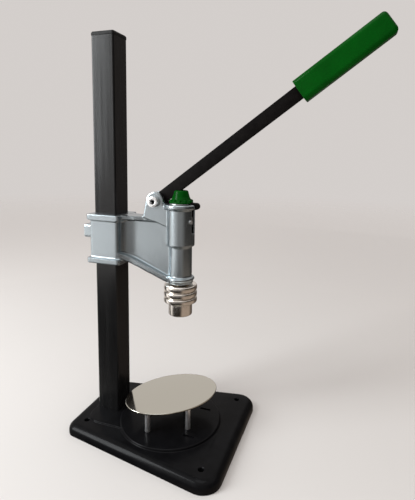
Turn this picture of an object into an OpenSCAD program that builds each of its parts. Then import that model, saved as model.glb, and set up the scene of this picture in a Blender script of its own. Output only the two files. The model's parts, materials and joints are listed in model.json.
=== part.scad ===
// Bench crimper for perfume bottles: a cast base, a square column, a cast head that
// slides on the column, and a hand lever that drives a ram and a crimping die.
// Millimetres, +Z up. The origin is on the bench, on the axis of the column.
// The operator stands at -Y, where the hand lever points.

/* [Base] */
// Length of the base, back edge to front edge
base_len = 208; // [195:0.5:250]
// Width of the base at its back edge, before the corners are rounded
base_back_w = 116; // [108:0.5:130]
// Width of the base at its front edge, before the corners are rounded
base_front_w = 189; // [182:0.5:230]
// Height of the cast base
base_h = 13; // [12:0.5:20]
// Radius of the base's two rear corners in plan
rear_corner_r = 14; // [12:0.5:20]
// Radius of the base's two front corners in plan
front_corner_r = 22; // [16:0.5:30]
// Radius of the base's rolled edge
base_roll_r = 9; // [6:0.5:10]
// Distance from the column's axis to the base's back edge
base_behind = 35; // [34:0.5:44]
// Diameter of the four bench screw holes
screw_hole_d = 6.5; // [4.5:0.1:8]
// Distance between the two rear screw holes
rear_hole_gap = 83; // [82:0.5:88]
// Distance from the back edge to the rear screw holes
rear_hole_in = 20.5; // [18:0.5:22]
// Distance between the two front screw holes
front_hole_gap = 140; // [130:1:146]
// Distance from the front edge to the front screw holes
front_hole_in = 23; // [19:0.5:27]
// Diameter of the round part of the raised seat
seat_d = 127; // [118:0.5:128]
// Height of the round part of the raised seat
seat_h = 3; // [2.6:0.1:4]
// Height of the seat's tab under the column
tab_h = 2; // [1:0.1:2.4]
// Distance from the column's axis forward to the middle of the round seat
seat_forward = 82; // [81:0.5:88]
// Half width of the seat's tab under the column
tab_half = 42.5; // [38:0.5:43]
// Distance from the column's axis back to the end of the seat's tab
tab_behind = 18; // [16:0.5:20]

/* [Column] */
// Width of the square column
column_w = 30; // [28:0.5:32]
// Wall of the column's tube
column_wall = 2; // [1.5:0.1:2.5]
// Radius of the column's long edges
column_r = 2; // [1.5:0.1:4]
// Height of the column's top above the bench
column_top = 482.3; // [480:0.1:560]
// Thickness of the column's end cap
cap_t = 4.3; // [3:0.1:8]
// How far the end cap stands out past the column's sides
cap_over = 0.5; // [0.2:0.1:1.5]
// Depth of the end cap's plug in the tube
cap_plug_l = 16; // [8:1:30]
// Height of the threaded block in the column's foot
foot_block_h = 32; // [24:1:50]
// Distance between the two bolts in the column's foot
foot_bolt_gap = 15; // [14:0.5:16]
// Diameter of the foot bolts
foot_bolt_d = 6; // [5:0.5:6]

/* [Riser] */
// Height of the riser plate's top above the bench
riser_top = 48.5; // [36:0.5:60]
// Length of the oval riser plate
riser_len = 120; // [116:1:140]
// Width of the oval riser plate
riser_w = 82; // [79:1:90]
// Thickness of the riser plate
riser_t = 2; // [1.5:0.1:4]
// Turn of the riser plate about its middle
riser_turn = 139; // [130:1:150]
// Distance from the column's axis forward to the middle of the riser plate
riser_forward = 84.5; // [82:0.5:88]
// Diameter of the riser's posts
post_d = 6.5; // [5.5:0.1:8]
// Turn of the square of posts
post_turn = 27; // [22:1:32]
// Distance between neighbouring posts
post_gap = 48.5; // [44:0.5:50]

/* [Sliding head] */
// Height of the sleeve's lower end above the bench
sleeve_z = 212; // [208:0.5:260]
// Length of the sleeve along the column
sleeve_h = 61; // [60:0.5:68]
// Wall of the sleeve
sleeve_wall = 4.75; // [4:0.05:6]
// How far the sleeve's end rims stand out
rim_out = 3; // [2:0.1:4]
// Height of each end rim of the sleeve
rim_h = 7; // [5:0.5:8]
// Radius of the sleeve's long edges
sleeve_r = 3.5; // [2:0.1:5]
// Distance from the column's axis to the crimping axis
reach = 94.5; // [93:0.5:106]
// Distance from the crimping axis back to the lever's pivot
pivot_back = 30.3; // [30:0.1:32]
// Height of the pivot above the sleeve's lower end
pivot_rise = 79.5; // [78:0.5:82]
// Radius of the rounded ears at the pivot
ear_r = 11.4; // [11:0.1:13]
// Thickness of each ear
ear_t = 5.8; // [4.5:0.1:7]
// Half width of the arm's flanges at the sleeve
arm_half = 12; // [11:0.5:13]
// Half width of the arm's flanges at the cylinder
arm_tip_half = 10; // [8:0.5:10.5]
// Half thickness of the arm's web
web_half = 4; // [3:0.5:6]
// Thickness of the arm's upper flange
flange_t = 5.2; // [4:0.1:7]
// Thickness of the arm's lower flange
low_flange_t = 7.5; // [5:0.1:9]
// Width and height of the square boss for the lock screw
lock_boss_w = 17; // [15:0.5:24]
// Corner radius of the square boss
lock_boss_r = 2.5; // [1:0.5:5]
// How far the boss for the lock screw stands out of the sleeve
lock_boss_l = 16.5; // [10:0.5:22]

/* [Head cylinder] */
// Diameter of the cylinder's top rim
rim_d = 40; // [38:0.5:42]
// Thickness of the cylinder's top rim
rim_t = 5.6; // [4:0.1:7]
// Outer diameter of the cylinder's upper part
upper_d = 33; // [32.8:0.1:36]
// Bore of the cylinder's upper part
upper_bore_d = 29.4; // [29:0.1:30]
// Length of the upper part, rim included
upper_l = 49.8; // [48:0.1:54]
// Outer diameter of the cylinder's lower part
lower_d = 27; // [26:0.1:29]
// Bore of the cylinder's lower part
lower_bore_d = 21.5; // [21:0.1:22]
// Diameter of the upper bead at the cylinder's foot
foot_bead_d = 33.6; // [31.5:0.1:38]
// Diameter of the lower ring at the cylinder's foot
foot_ring_d = 30.6; // [29:0.1:31.4]
// Height of the bead and the ring together
foot_flange_h = 7.8; // [7:0.1:10]
// Whole length of the cylinder
cylinder_l = 95.1; // [93:0.1:104]
// Length of the guide bush in the cylinder
bush_l = 17.6; // [14:0.1:22]

/* [Lever] */
// Angle of the lever's bar above level, at rest
bar_angle = 36.8; // [36:0.1:42]
// Travel of the lever, in degrees
lever_throw = 26; // [18:1:26]
// Width of the lever's bar
bar_w = 14.5; // [14:0.5:16.5]
// Thickness of the lever's plate
bar_t = 6; // [5:0.1:6.4]
// Length from the pivot to the end of the grip
lever_l = 306.5; // [260:0.5:360]
// Height of the lever's tongue
tongue_h = 8; // [7.5:0.1:9]
// How far the tongue stands out past the cylinder's rim
tongue_out = 3.2; // [2.5:0.1:8]
// Diameter of the pivot bolt
pivot_d = 8; // [6:0.5:9]
// Length of the hand grip
grip_l = 104; // [90:0.5:130]
// Depth of the hand grip across the bar
grip_w = 25.3; // [23:0.1:30]
// Thickness of the hand grip
grip_t = 20; // [17:0.5:23]

/* [Ram and die] */
// Diameter of the ram's shaft
ram_d = 14; // [12:0.5:14]
// Diameter of the cross pin that the tongue presses on
pin_d = 8; // [7:0.5:9]
// Height of the ram's cap
ram_cap_h = 15; // [12:0.1:16]
// Diameter of the cap's flat top
ram_cap_top_d = 16.6; // [15:0.1:19]
// Gap between the cylinder's foot and the ribbed collar
collar_drop = 1.3; // [1:0.1:3]
// Diameter of the ribbed collar
collar_d = 40; // [36:0.1:44]
// Height of the ribbed collar
collar_h = 22.9; // [21:0.1:26]
// Diameter of the crimp sleeve
die_d = 28.5; // [27.6:0.1:30]
// How far the crimp sleeve stands below the collar
die_l = 15.4; // [15:0.1:20]
// Bore of the crimping collet
collet_bore_d = 17.5; // [15:0.1:17.6]
// Depth of the collet's bore
collet_depth = 10.4; // [9:0.1:11]

/* [Fits] */
// Gap between the sleeve and each side of the column
slide_gap = 0.25; // [0.2:0.05:0.5]
// Radial gap of a shaft that turns or slides in its bore
run_gap = 0.05; // [0.02:0.01:0.1]
// Radial gap of a pressed or screwed seat
seat_gap = 0.02; // [0.01:0.01:0.05]
// Gap that keeps two moving pieces apart
clear_gap = 0.3; // [0.2:0.05:0.5]
// Gap between two flat faces that rub
side_gap = 0.1; // [0.05:0.05:0.2]

/* [Hidden] */
$fn = 64;
EPS = 0.01;

// Base, column and riser
seat_top = base_h + seat_h;
tab_top = base_h + tab_h;
base_front = base_behind - base_len;
seat_y = -seat_forward;
riser_y = -riser_forward;
rear_hole_y = base_behind - rear_hole_in;
front_hole_y = base_front + front_hole_in;
tube_inside = column_w - 2 * column_wall;
tab_corner_r = 20;
foot_head_d = foot_bolt_d * 1.65;
foot_head_low = 1;
dash_x = 29;
dash_far = 44;
dash_l = 14.5;
dash_w = 3.5;
dash_deep = 1.5;
post_top = riser_top - riser_t;
post_x = -5;
post_y = riser_y + 5;

// Sleeve and arm
washer_t = 1;
sleeve_bore = column_w + 2 * slide_gap;
body_w = sleeve_bore + 2 * sleeve_wall;
sleeve_rim_w = body_w + 2 * rim_out;
sleeve_top = sleeve_z + sleeve_h;
crimp_y = -reach;
pivot_y = crimp_y + pivot_back;
pivot_z = sleeve_z + pivot_rise;
ear_gap = bar_t + 2 * (washer_t + 2 * side_gap);
ear_x = ear_gap / 2 + ear_t;
flange_top = pivot_z - 19;
lever_slot_floor = flange_top + 1;
ear_back_y = pivot_y + ear_r + 4;
ear_proud = 0.7;
gusset_drop = 11.2;
arm_root_y = -body_w / 2;
arm_root_z = sleeve_z + rim_h + 0.5;
arm_tip_y = crimp_y + lower_d / 2;
arm_blend_l = 18;
web_blend_w = 10;
flange_blend_w = 7;

// Cylinder of the head
rim_top = pivot_z - 2;
cylinder_bot = rim_top - cylinder_l;
step_z = rim_top - upper_l;
shoulder_z = step_z + 4.8;
front_slot_w = bar_t + 1.5;
front_slot_floor = rim_top - 34;

// Tongue, ram and die
pin_r = pin_d / 2;
contact_gap = 0.1;
pin_z = pivot_z - tongue_h - contact_gap - pin_r;
fork_w = bar_t + 2;
fork_floor = pin_z - pin_r - 1.2;
ram_head_d = upper_bore_d - 0.8;
ram_head_bot = fork_floor - 9;
fork_top = rim_top + 1;
collar_top = cylinder_bot - collar_drop;
collar_bot = collar_top - collar_h;
collar_web_t = 10.4;
collar_web_z = collar_top - collar_web_t;
collar_screw_d = 4;
collar_screw_z = collar_web_z + collar_web_t / 2;
cap_peg_d = 3;
cap_peg_l = 5;
die_bot = collar_bot - die_l;
die_wall = 1.6;
die_bore_d = die_d - 2 * die_wall;
lip_h = 6;
collet_nose_d = collet_bore_d + 4.8;
collet_shoulder_d = die_bore_d - 2 * clear_gap;
collet_bot = die_bot + 1.3;
collet_shoulder_z = die_bot + lip_h + clear_gap;
collet_top = collet_bot + collet_depth + 5;
stem_hole_d = collet_bore_d - 4.3;

// Travel of the ram at the end of the lever's throw
ram_stroke = (tongue_h + pin_r) * (1 / cos(lever_throw) - 1)
    + pivot_back * tan(lever_throw);
ram_per_radian = ram_stroke / lever_throw * 180 / PI;

// Pivot
pivot_nut_t = 6.5;
pivot_bush_d = pivot_d + 4;
grip_end = 9;
grip_end_r = grip_t * 0.2;
grip_taper = 0.7;
hub_r = 10.5;

// Guide screw and lock screw
guide_turn = 25;
guide_d = 3;
guide_z = pivot_z - 22;
guide_tip_r = ram_head_d / 2 - 1.6;
lock_d = 8;
lock_z = sleeve_z + 37;
lock_boss_y = body_w / 2 + lock_boss_l;
lock_pad_t = 2.9;
lock_pad_y = column_w / 2 + side_gap;

// Springs
return_wire_d = 2;
return_mean_d = (ram_d + lower_bore_d) / 2;
return_turns = 9;
collet_wire_d = 1.2;
collet_mean_d = collet_shoulder_d - 3;
collet_turns = 3;
return_low = cylinder_bot + bush_l + side_gap;
return_high = ram_head_bot - side_gap;
collet_spring_low = collet_top + side_gap;
collet_spring_high = collar_web_z - side_gap;

echo(ram_stroke = ram_stroke, ram_per_radian = ram_per_radian);
echo(return_spring_gap = coil_gap(return_low, return_high, return_turns, return_wire_d));
echo(
    collet_spring_gap =
        coil_gap(collet_spring_low, collet_spring_high, collet_turns, collet_wire_d)
);

// Shared shapes

// A square with round corners, made of true arcs
module round_square(w, r) {
    square([w - 2 * r, w], center = true);
    square([w, w - 2 * r], center = true);
    for (x = [-1, 1], y = [-1, 1])
        translate([x * (w / 2 - r), y * (w / 2 - r)])
            circle(r);
}

// Stands a drawing of the Y-Z plane up and gives it thickness along X
module side_plate(x0, x1) {
    translate([x0, 0, 0])
        rotate([90, 0, 90])
            linear_extrude(x1 - x0)
                children();
}

// A round bar along X
module rod_x(x0, x1, d) {
    translate([x0, 0, 0])
        rotate([0, 90, 0])
            cylinder(h = x1 - x0, d = d);
}

// A round bar along Y
module rod_y(y0, y1, d) {
    translate([0, y0, 0])
        rotate([-90, 0, 0])
            cylinder(h = y1 - y0, d = d);
}

// A ring about X with a round hole
module ring_x(x0, x1, d, hole) {
    difference() {
        rod_x(x0, x1, d);
        rod_x(x0 - 1, x1 + 1, hole);
    }
}

// Least gap between neighbouring turns of a coil
function coil_gap(low, high, turns, wire) = (high - low - wire) / turns - wire;

// One point on the skin of a coil's wire
function coil_point(mean, wire, low, rise, a, b) =
    let (r = mean / 2 + wire / 2 * cos(b))
    [r * cos(a), r * sin(a), low + wire / 2 + rise + wire / 2 * sin(b)];

// An open coil of round wire that fills the height from low to high
module coil(mean, wire, low, high, turns) {
    rings = 8 * turns;
    sides = 6;
    lift = (high - low - wire) / rings;
    skin = [
        for (i = [0:rings], s = [0:sides - 1])
            coil_point(mean, wire, low, lift * i, 45 * i, 60 * s)
    ];
    walls = [
        for (i = [0:rings - 1], s = [0:sides - 1], half = [0, 1])
            let (a = i * sides + s, b = i * sides + (s + 1) % sides)
            half == 0 ? [a, b, b + sides] : [a, b + sides, a + sides]
    ];
    last = rings * sides;
    ends = [
        for (s = [1:sides - 2], end = [0, 1])
            end == 0 ? [0, s + 1, s] : [last, last + s, last + s + 1]
    ];
    polyhedron(points = skin, faces = concat(walls, ends));
}

// Base and column

// The base's outer form: four rolled corners, each touching its two edges
module base_form() {
    slope = (base_front_w - base_back_w) / 2 / base_len;
    slant = sqrt(1 + slope * slope);
    rear_x = base_back_w / 2 + rear_corner_r * (slope - slant);
    front_x = base_front_w / 2 - front_corner_r * (slope + slant);
    rear_y = base_behind - rear_corner_r;
    front_y = base_front + front_corner_r;
    corners = [
        [rear_x, rear_y, rear_corner_r], [-rear_x, rear_y, rear_corner_r],
        [front_x, front_y, front_corner_r], [-front_x, front_y, front_corner_r]
    ];
    hull()
        for (c = corners, a = [0:10:90])
            translate([c[0], c[1], 0])
                cylinder(
                    h = base_h - base_roll_r * (1 - sin(a)),
                    r = c[2] - base_roll_r * (1 - cos(a)), $fn = 72
                );
}

// Plan of the square tab under the column
module tab_plan(in) {
    side = tab_half - in;
    back = tab_behind - in;
    r = tab_corner_r - in;
    translate([-side, seat_y])
        square([2 * side, back - r - seat_y]);
    translate([-side + r, seat_y])
        square([2 * (side - r), back - seat_y]);
    for (s = [-1, 1])
        translate([s * (side - r), back - r])
            circle(r);
}

// Places the two bolts that hold the column's foot
module at_foot_bolts() {
    for (s = [-1, 1])
        translate([0, s * foot_bolt_gap / 2, 0])
            children();
}

module base_plate() {
    seat_edge = 0.8;
    color("#1b1c1e")
        difference() {
            union() {
                base_form();
                translate([0, 0, base_h - EPS]) {
                    linear_extrude(tab_h - seat_edge + EPS)
                        tab_plan(0);
                    linear_extrude(tab_h + EPS)
                        tab_plan(seat_edge);
                }
                translate([0, seat_y, base_h - EPS]) {
                    cylinder(h = seat_h - seat_edge + EPS, d = seat_d, $fn = 96);
                    cylinder(h = seat_h + EPS, d = seat_d - 2 * seat_edge, $fn = 96);
                }
            }
            for (s = [-1, 1]) {
                translate([s * rear_hole_gap / 2, rear_hole_y, -1])
                    cylinder(h = seat_top + 2, d = screw_hole_d);
                translate([s * front_hole_gap / 2, front_hole_y, -1])
                    cylinder(h = seat_top + 2, d = screw_hole_d);
                translate([s * dash_x - dash_w / 2, seat_y - dash_far, seat_top - dash_deep])
                    cube([dash_w, dash_l, seat_h]);
            }
            at_foot_bolts() {
                translate([0, 0, -1])
                    cylinder(h = seat_top + 2, d = foot_bolt_d + 2 * clear_gap);
                translate([0, 0, -1])
                    cylinder(h = 1 + foot_head_low + foot_bolt_d, d = foot_head_d + 2 * clear_gap);
            }
        }
}

module foot_bolts() {
    color("#b9bcc0")
        at_foot_bolts() {
            difference() {
                translate([0, 0, foot_head_low])
                    cylinder(h = foot_bolt_d, d = foot_head_d);
                cylinder(h = foot_head_low + foot_bolt_d / 2, d = foot_bolt_d * 0.9, $fn = 6);
            }
            translate([0, 0, foot_head_low + foot_bolt_d - EPS])
                cylinder(h = tab_top + foot_block_h / 2 - foot_bolt_d, d = foot_bolt_d);
        }
}

module column() {
    color("#202124")
        translate([0, 0, tab_top])
            difference() {
                linear_extrude(column_top - tab_top)
                    round_square(column_w, column_r);
                translate([0, 0, -1])
                    linear_extrude(column_top - tab_top + 2)
                        square(tube_inside, center = true);
            }
}

module column_foot_block() {
    color("#8a8d91")
        translate([0, 0, tab_top])
            difference() {
                linear_extrude(foot_block_h)
                    square(tube_inside - 2 * seat_gap, center = true);
                at_foot_bolts()
                    translate([0, 0, -1])
                        cylinder(h = foot_block_h / 2 + 4, d = foot_bolt_d + 2 * seat_gap);
            }
}

module column_cap() {
    plug_wall = 2;
    plug_w = tube_inside - 2 * seat_gap;
    cap_w = column_w + 2 * cap_over;
    edge_h = 1.2;
    edge_in = 0.8;
    color("#17181a")
        translate([0, 0, column_top]) {
            linear_extrude(cap_t - edge_h)
                round_square(cap_w, column_r + cap_over);
            translate([0, 0, cap_t - edge_h - EPS])
                linear_extrude(edge_h + EPS)
                    round_square(cap_w - 2 * edge_in, column_r);
            translate([0, 0, -cap_plug_l])
                linear_extrude(cap_plug_l + EPS)
                    difference() {
                        square(plug_w, center = true);
                        square(plug_w - 2 * plug_wall, center = true);
                    }
        }
}

// Riser

module riser_plate() {
    color("#d7d9dc")
        translate([0, riser_y, post_top])
            rotate(riser_turn)
                linear_extrude(riser_t)
                    polygon([
                        for (a = [0:3:357])
                            [riser_len / 2 * cos(a), riser_w / 2 * sin(a)]
                    ]);
}

module riser_posts() {
    color("#d0d2d5")
        translate([post_x, post_y, seat_top])
            rotate(post_turn)
                for (x = [-1, 1], y = [-1, 1])
                    translate([x * post_gap / 2, y * post_gap / 2, 0])
                        cylinder(h = post_top - seat_top, d = post_d);
}

// Sliding head

// Plan of the arm, with a hollow curve where it leaves the sleeve
module arm_plan(root_half, tip_half, tip_y, blend_w) {
    blend_l = arm_blend_l;
    curve_r = (blend_w * blend_w + blend_l * blend_l) / (2 * blend_w);
    polygon([
        [-root_half, arm_root_y + 1], [root_half, arm_root_y + 1],
        [root_half, arm_root_y - blend_l], [tip_half, tip_y], [tip_half, crimp_y + 6],
        [-tip_half, crimp_y + 6], [-tip_half, tip_y], [-root_half, arm_root_y - blend_l]
    ]);
    difference() {
        translate([-root_half - blend_w, arm_root_y - blend_l])
            square([2 * (root_half + blend_w), blend_l + 1]);
        for (s = [-1, 1])
            translate([s * (root_half + curve_r), arm_root_y - blend_l])
                circle(curve_r);
    }
}

// Side view of the arm, from its sloping lower edge up to the given heights
module arm_side(root_top, tip_top) {
    polygon([
        [arm_root_y + 1, arm_root_z], [arm_tip_y, cylinder_bot], [crimp_y + 6, cylinder_bot],
        [crimp_y + 6, tip_top], [arm_tip_y, tip_top], [arm_root_y + 1, root_top]
    ]);
}

// Side view of the ears and of the gussets that tie them to the cylinder
module ear_side() {
    gusset_z = flange_top - gusset_drop;
    lean = atan((ear_back_y - pivot_y - ear_r) / (pivot_z - flange_top));
    translate([pivot_y, pivot_z])
        circle(ear_r);
    polygon([
        [pivot_y + ear_r * cos(lean), pivot_z + ear_r * sin(lean)], [ear_back_y, flange_top],
        [arm_tip_y, gusset_z], [crimp_y + 8, gusset_z], [crimp_y + 8, rim_top - 2],
        [pivot_y - ear_r, rim_top - 2], [pivot_y - ear_r * 0.7, pivot_z + ear_r * 0.7]
    ]);
}

module cylinder_outside() {
    rim_r = rim_d / 2;
    up_r = upper_d / 2;
    low_r = lower_d / 2;
    ring_r = foot_ring_d / 2;
    bead_r = foot_bead_d / 2;
    groove_z = cylinder_bot + foot_flange_h * 0.42;
    foot_top = cylinder_bot + foot_flange_h;
    edge = 1.2;
    crisp = 0.5;
    translate([0, crimp_y, 0])
        rotate_extrude($fn = 96)
            polygon([
                [0, cylinder_bot], [ring_r - crisp, cylinder_bot], [ring_r, cylinder_bot + edge],
                [ring_r, groove_z - crisp], [ring_r - edge, groove_z],
                [bead_r - edge, groove_z + crisp], [bead_r, groove_z + crisp + edge],
                [bead_r, foot_top - edge], [bead_r - edge, foot_top], [low_r, foot_top],
                [low_r, step_z], [up_r - crisp, step_z], [up_r, step_z + crisp],
                [up_r, rim_top - rim_t], [rim_r - crisp, rim_top - rim_t],
                [rim_r, rim_top - rim_t + crisp], [rim_r, rim_top - edge],
                [rim_r - edge, rim_top], [0, rim_top]
            ]);
}

module head_casting() {
    color("#9aa3a8")
        difference() {
            union() {
                translate([0, 0, sleeve_z])
                    linear_extrude(sleeve_h)
                        round_square(body_w, sleeve_r);
                for (z = [sleeve_z, sleeve_top - rim_h])
                    translate([0, 0, z])
                        linear_extrude(rim_h)
                            round_square(sleeve_rim_w, sleeve_r);
                intersection() {
                    translate([0, 0, cylinder_bot])
                        linear_extrude(cylinder_l)
                            arm_plan(web_half, web_half, arm_tip_y, web_blend_w);
                    side_plate(-body_w / 2, body_w / 2)
                        arm_side(flange_top, flange_top);
                }
                intersection() {
                    translate([0, 0, cylinder_bot])
                        linear_extrude(cylinder_l)
                            arm_plan(arm_half, arm_tip_half, arm_tip_y, flange_blend_w);
                    side_plate(-body_w / 2, body_w / 2)
                        arm_side(arm_root_z + low_flange_t, cylinder_bot + low_flange_t);
                }
                translate([0, 0, flange_top - flange_t])
                    linear_extrude(flange_t)
                        arm_plan(arm_half, ear_x - ear_proud, ear_back_y, flange_blend_w);
                side_plate(-ear_x, ear_x)
                    ear_side();
                cylinder_outside();
                translate([0, body_w / 2 - 1, lock_z])
                    rotate([-90, 0, 0])
                        linear_extrude(lock_boss_l + 1)
                            round_square(lock_boss_w, lock_boss_r);
            }
            translate([0, 0, sleeve_z - 1])
                linear_extrude(sleeve_h + 2)
                    square(sleeve_bore, center = true);
            translate([0, crimp_y, cylinder_bot - 1])
                cylinder(h = cylinder_l + 2, d = lower_bore_d);
            translate([0, crimp_y, shoulder_z])
                cylinder(h = cylinder_l, d = upper_bore_d);
            translate([-front_slot_w / 2, crimp_y - rim_d, front_slot_floor])
                cube([front_slot_w, rim_d, cylinder_l]);
            translate([-ear_gap / 2, crimp_y, lever_slot_floor])
                cube([ear_gap, pivot_back + 2 * ear_r, cylinder_l]);
            translate([0, pivot_y, pivot_z])
                rod_x(-ear_x - 1, ear_x + 1, pivot_d + 2 * seat_gap);
            translate([0, 0, lock_z])
                rod_y(0, lock_boss_y + 1, lock_d + 2 * run_gap);
            at_guide_screw()
                rod_y(-upper_d, -guide_tip_r, guide_d + 2 * seat_gap);
        }
}

// The guide screw's place: beside the front slot, pointing at the crimping axis
module at_guide_screw() {
    translate([0, crimp_y, guide_z])
        rotate(-guide_turn)
            children();
}

module guide_bush() {
    color("#b08d57")
        translate([0, crimp_y, cylinder_bot])
            difference() {
                cylinder(h = bush_l, d = lower_bore_d - 2 * seat_gap);
                translate([0, 0, -1])
                    cylinder(h = bush_l + 2, d = ram_d + 2 * run_gap);
            }
}

module guide_screw() {
    head_h = 1.4;
    slit_w = 0.8;
    slit_deep = 0.7;
    color("#c7cacd")
        at_guide_screw()
            difference() {
                union() {
                    rod_y(-upper_d / 2 - EPS, -guide_tip_r, guide_d);
                    rod_y(-upper_d / 2 - head_h, -upper_d / 2, guide_d * 1.45);
                }
                translate([-slit_w / 2, -upper_d / 2 - head_h - 1, -guide_d])
                    cube([slit_w, 1 + slit_deep, 2 * guide_d]);
            }
}

module pivot_bolt() {
    head_h = pivot_d * 0.7;
    socket_d = pivot_d * 0.85;
    socket_deep = head_h * 0.6;
    color("#b9bcc0")
        translate([0, pivot_y, pivot_z])
            difference() {
                union() {
                    rod_x(-ear_x - head_h, -ear_x, pivot_d * 1.6);
                    rod_x(-ear_x - EPS, ear_x + pivot_nut_t + 1.5, pivot_d);
                }
                translate([-ear_x - head_h - 1, 0, 0])
                    rotate([0, 90, 0])
                        cylinder(h = 1 + socket_deep, d = socket_d, $fn = 6);
                translate([-ear_x - head_h + socket_deep - EPS, 0, 0])
                    rotate([0, 90, 0])
                        cylinder(h = socket_d * 0.22, d1 = socket_d * 0.84, d2 = socket_d * 0.1);
            }
}

module pivot_nut() {
    color("#b9bcc0")
        translate([0, pivot_y, pivot_z])
            difference() {
                translate([ear_x, 0, 0])
                    rotate([0, 90, 0])
                        cylinder(h = pivot_nut_t, d = pivot_d * 1.87, $fn = 6);
                rod_x(ear_x - 1, ear_x + pivot_nut_t + 1, pivot_d + 2 * seat_gap);
            }
}

module thrust_washers() {
    near = bar_t / 2 + side_gap;
    color("#b08d57")
        translate([0, pivot_y, pivot_z]) {
            ring_x(near, near + washer_t, pivot_d * 2, pivot_d + 2 * run_gap);
            ring_x(-near - washer_t, -near, pivot_d * 2, pivot_d + 2 * run_gap);
        }
}

module lock_pad() {
    color("#b8963e")
        translate([0, 0, lock_z])
            rod_y(lock_pad_y, lock_pad_y + lock_pad_t, lock_d);
}

module lock_screw() {
    tip_y = lock_pad_y + lock_pad_t + side_gap;
    end_y = lock_boss_y - 1.5;
    socket_deep = 4;
    color("#2c2e31")
        translate([0, 0, lock_z])
            difference() {
                rod_y(tip_y, end_y, lock_d);
                translate([0, end_y - socket_deep, 0])
                    rotate([-90, 0, 0])
                        cylinder(h = socket_deep + 1, d = lock_d * 0.58, $fn = 6);
            }
}

// Lever

module lever_bar() {
    tongue_l = pivot_back + rim_d / 2 + tongue_out;
    tip_r = tongue_h / 2;
    color("#232427")
        difference() {
            side_plate(-bar_t / 2, bar_t / 2)
                translate([pivot_y, pivot_z]) {
                    circle(hub_r);
                    rotate(180 - bar_angle)
                        translate([0, -bar_w / 2])
                            square([lever_l - grip_end, bar_w]);
                    translate([-tongue_l + tip_r, -tongue_h])
                        square([tongue_l - tip_r, tongue_h]);
                    translate([-tongue_l + tip_r, -tip_r])
                        circle(tip_r);
                }
            translate([0, pivot_y, pivot_z])
                rod_x(-bar_t, bar_t, pivot_bush_d + 2 * seat_gap);
        }
}

module pivot_bush() {
    color("#b08d57")
        translate([0, pivot_y, pivot_z])
            ring_x(-bar_t / 2, bar_t / 2, pivot_bush_d, pivot_d + 2 * run_gap);
}

// One slice of the hand grip, with round long edges
module grip_slice(from_end, deep, in) {
    edge_r = grip_t * 0.27;
    translate([0, from_end + deep, 0])
        rotate([90, 90, 0])
            linear_extrude(deep)
                for (x = [-1, 1], y = [-1, 1])
                    translate([x * (grip_w / 2 - edge_r), y * (grip_t / 2 - edge_r)])
                        circle(edge_r - in, $fn = 48);
}

module hand_grip() {
    color("#0d6b2c")
        translate([0, pivot_y, pivot_z])
            rotate([-bar_angle, 0, 0])
                translate([0, -lever_l, 0])
                    difference() {
                        hull() {
                            grip_slice(grip_l - 1, 1, 0);
                            for (a = [0:15:90])
                                grip_slice(
                                    grip_end_r * (1 - sin(a)), EPS,
                                    grip_taper + grip_end_r * (1 - cos(a))
                                );
                        }
                        translate([-bar_t / 2 - seat_gap, grip_end - seat_gap, -bar_w / 2 - seat_gap])
                            cube([bar_t + 2 * seat_gap, grip_l, bar_w + 2 * seat_gap]);
                    }
}

// Ram and die

// Places the pegs that key the cap into the ram's two prongs
module at_cap_pegs() {
    for (s = [-1, 1])
        translate([s * (fork_w + ram_head_d) / 4, crimp_y, fork_top])
            children();
}

module ram() {
    key_w = guide_d + 2 * clear_gap;
    color("#b3b7bb")
        difference() {
            union() {
                translate([0, crimp_y, ram_head_bot])
                    cylinder(h = fork_top - ram_head_bot, d = ram_head_d);
                translate([0, crimp_y, collar_web_z])
                    cylinder(h = ram_head_bot - collar_web_z + 1, d = ram_d);
            }
            translate([-fork_w / 2, crimp_y - ram_head_d, fork_floor])
                cube([fork_w, 2 * ram_head_d, fork_top]);
            translate([0, crimp_y, pin_z])
                rod_x(-ram_head_d, ram_head_d, pin_d + 2 * seat_gap);
            at_guide_screw()
                translate([-key_w / 2, -ram_head_d, -key_w / 2])
                    cube([key_w, ram_head_d - guide_tip_r + clear_gap, fork_top]);
            at_cap_pegs()
                translate([0, 0, -cap_peg_l - clear_gap])
                    cylinder(h = cap_peg_l + 1, d = cap_peg_d + 2 * seat_gap);
        }
}

module contact_pin() {
    end_x = sqrt(pow(ram_head_d / 2, 2) - pow(pin_r, 2)) - clear_gap;
    color("#c9ccd0")
        translate([0, crimp_y, pin_z])
            rod_x(-end_x, end_x, pin_d);
}

module ram_cap() {
    brim_r = ram_head_d / 2 - 0.1;
    top_r = ram_cap_top_d / 2;
    brim_h = 2.6;
    edge = 1;
    waist_h = ram_cap_h * 0.5;
    flare = 1.7;
    lobe_d = 3.2;
    notch_front = pivot_back - ram_per_radian - 0.4;
    groove_h = max(clear_gap, pivot_z + clear_gap - fork_top);
    color("#0d6b2c") {
        translate([0, crimp_y, fork_top])
            difference() {
                union() {
                    rotate_extrude($fn = 96)
                        polygon([
                            [0, 0], [brim_r, 0], [brim_r, brim_h - edge], [brim_r - edge, brim_h],
                            [brim_r - lobe_d / 2, brim_h], [top_r + flare, waist_h],
                            [top_r, ram_cap_h - edge], [top_r - edge, ram_cap_h], [0, ram_cap_h]
                        ]);
                    for (a = [0:30:330])
                        rotate(a + 15)
                            translate([brim_r - lobe_d / 2, 0, 0])
                                cylinder(h = brim_h + 1.6, d = lobe_d);
                }
                translate([-ear_gap / 2, notch_front, -1])
                    cube([ear_gap, ram_head_d, ram_cap_h + 2]);
                translate([-ear_gap / 2, -ram_head_d, -1])
                    cube([ear_gap, 2 * ram_head_d, 1 + groove_h]);
            }
        at_cap_pegs()
            translate([0, 0, -cap_peg_l])
                cylinder(h = cap_peg_l + 1, d = cap_peg_d);
    }
}

module return_spring() {
    color("#a7abb0")
        translate([0, crimp_y, 0])
            coil(return_mean_d, return_wire_d, return_low, return_high, return_turns);
}

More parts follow.
